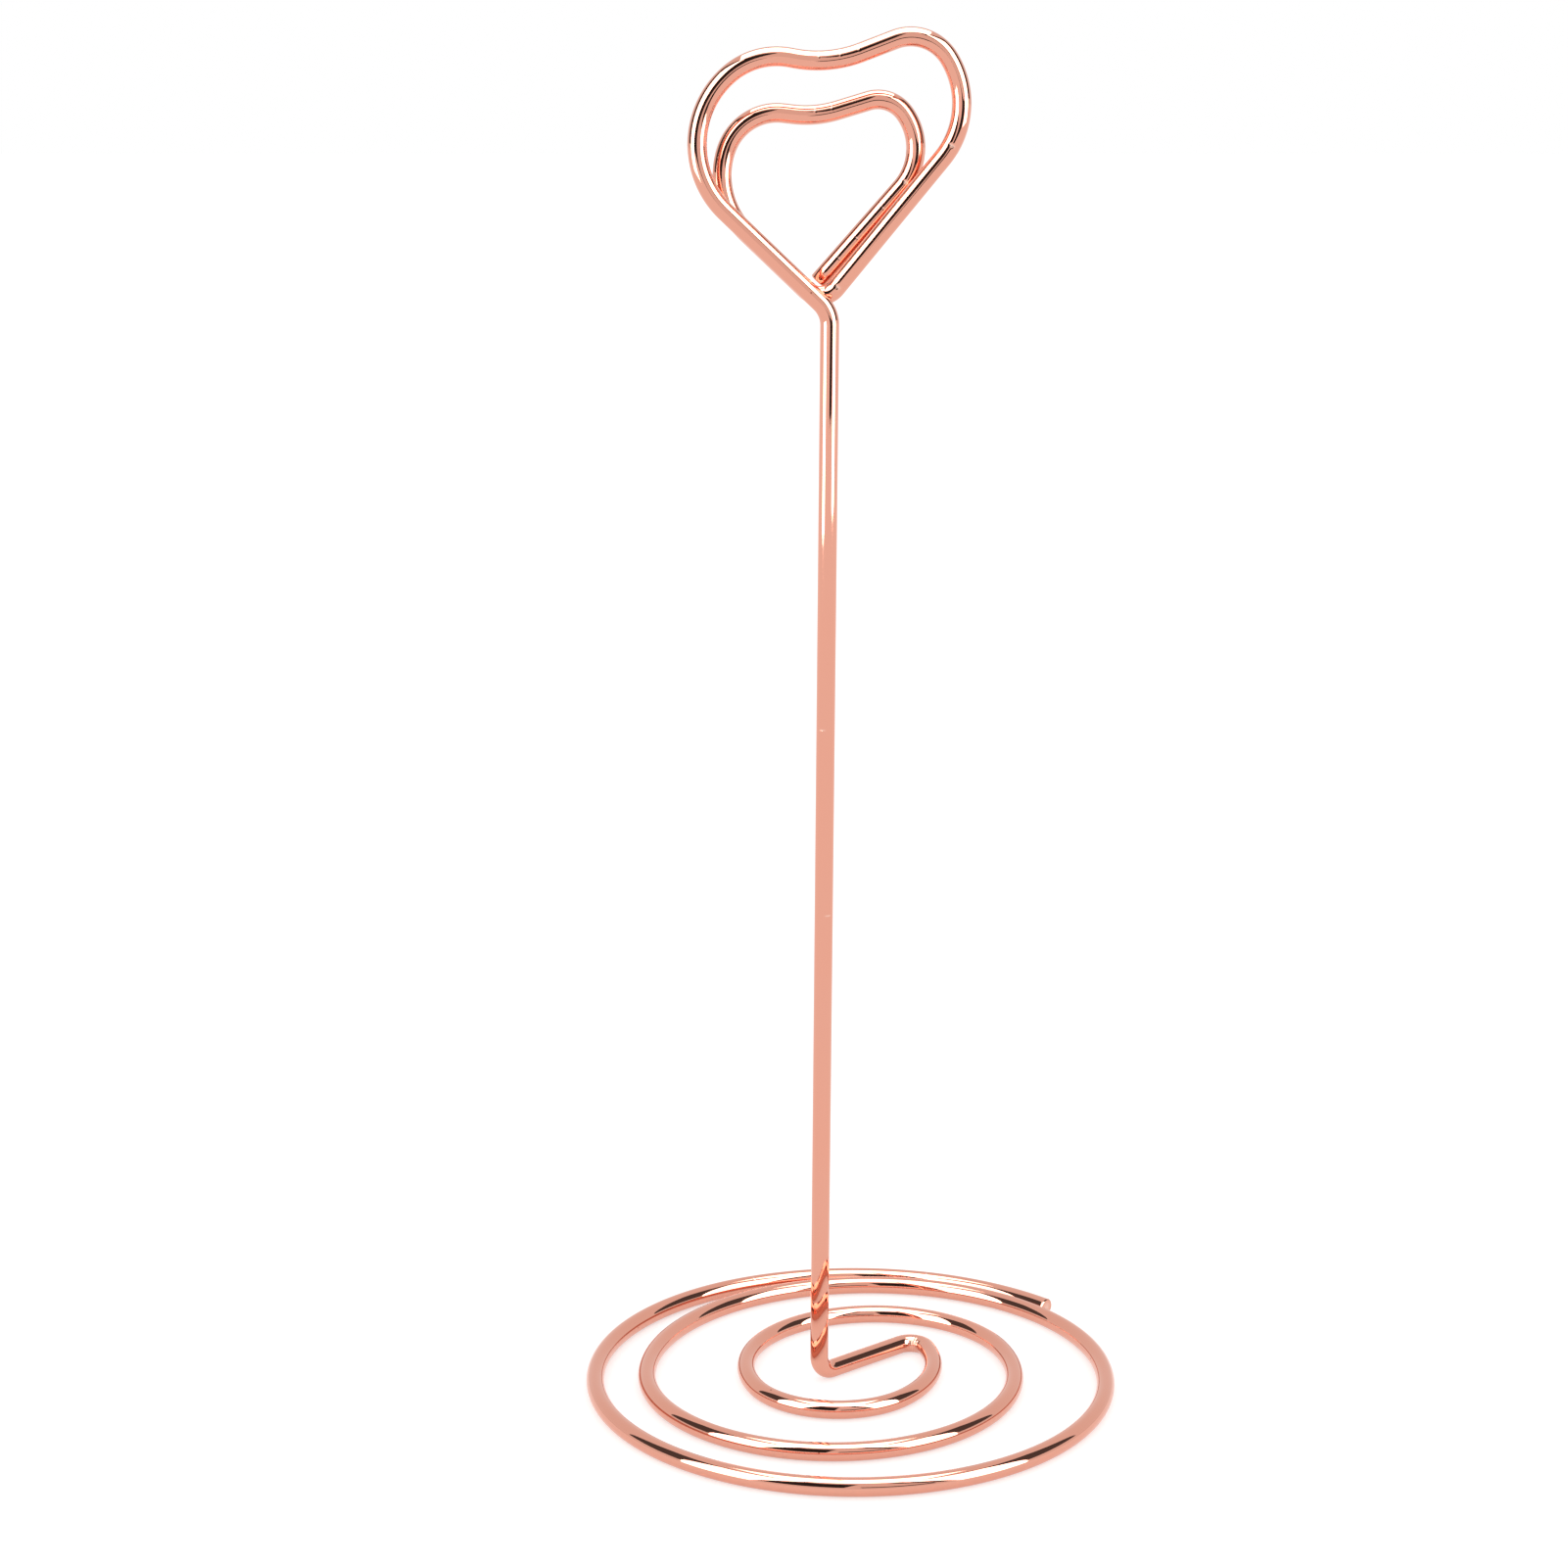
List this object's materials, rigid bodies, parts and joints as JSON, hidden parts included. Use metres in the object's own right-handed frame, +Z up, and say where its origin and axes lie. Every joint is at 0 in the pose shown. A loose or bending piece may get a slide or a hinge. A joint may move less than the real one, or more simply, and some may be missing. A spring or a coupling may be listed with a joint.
{
  "type": "memo clip holder",
  "caption": "Memo clip holder bent from round plated wire: a flat wound base, a slim upright stem and nested hearts that grip a card.",
  "frame": {"origin": "bottom centre of the bounding box, on the surface it stands on", "axes": "+Z up, the front with the larger heart looks towards -Y, +X to the right as seen from the front"},
  "size_m": [0.082, 0.0822, 0.2054],
  "materials": {
    "wire": "polished rose gold plating on steel wire"
  },
  "bodies": {
    "root": {"wire": "wire"}
  },
  "joints": []
}
